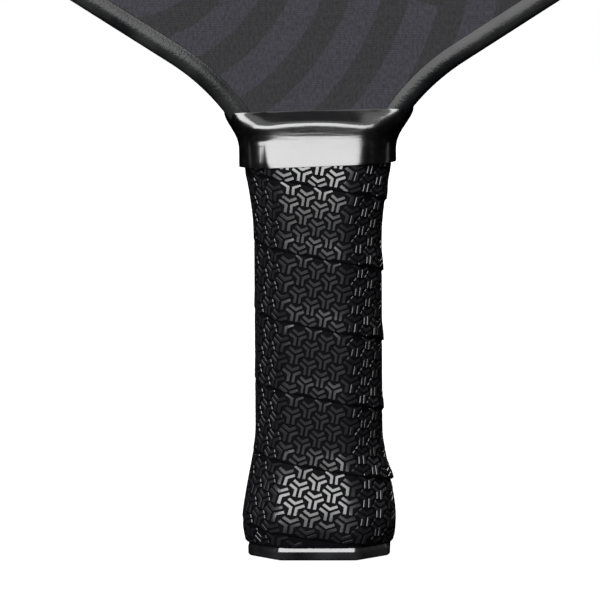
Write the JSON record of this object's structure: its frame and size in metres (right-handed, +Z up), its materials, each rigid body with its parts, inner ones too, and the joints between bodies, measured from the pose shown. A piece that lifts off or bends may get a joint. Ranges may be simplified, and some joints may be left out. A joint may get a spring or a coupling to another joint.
{
  "type": "pickleball paddle",
  "caption": "Wide-body pickleball paddle: honeycomb sandwich head with an edge guard, and an eight-sided handle with a wrapped cushion grip, finishing band and flared butt cap.",
  "frame": {"origin": "centre of the butt cap's flat underside", "axes": "+Z up the paddle's length from the butt to the top of the head, +X across its width, +Y through its thickness towards the rear face, so the printed front face looks along -Y"},
  "size_m": [0.2, 0.0358, 0.4],
  "materials": {
    "polypropylene": "translucent white honeycomb",
    "bond_film": "cured adhesive film",
    "face_sheet": "matt printed woven laminate, charcoal with indigo-grey bands",
    "guard_plastic": "satin black moulding",
    "adhesive": "double-sided tape",
    "handle_foam": "rigid closed-cell foam",
    "cap_plastic": "gloss black moulding",
    "badge_vinyl": "blank satin disc",
    "staple_steel": "flat steel wire",
    "cushion": "felt-backed foam",
    "grip_skin": "embossed black polyurethane",
    "band_vinyl": "glossy stretched vinyl tape"
  },
  "bodies": {
    "root": {"core_honeycomb": "polypropylene", "front_bond_film": "bond_film", "rear_bond_film": "bond_film", "front_face_sheet": "face_sheet", "rear_face_sheet": "face_sheet", "edge_guard": "guard_plastic", "edge_guard_tape": "adhesive", "front_pallet": "handle_foam", "rear_pallet": "handle_foam", "front_pallet_tape": "adhesive", "rear_pallet_tape": "adhesive", "butt_cap": "cap_plastic", "butt_badge": "badge_vinyl", "front_staple": "staple_steel", "rear_staple": "staple_steel", "grip_cushion": "cushion", "grip_skin": "grip_skin", "finishing_band": "band_vinyl"}
  },
  "joints": []
}
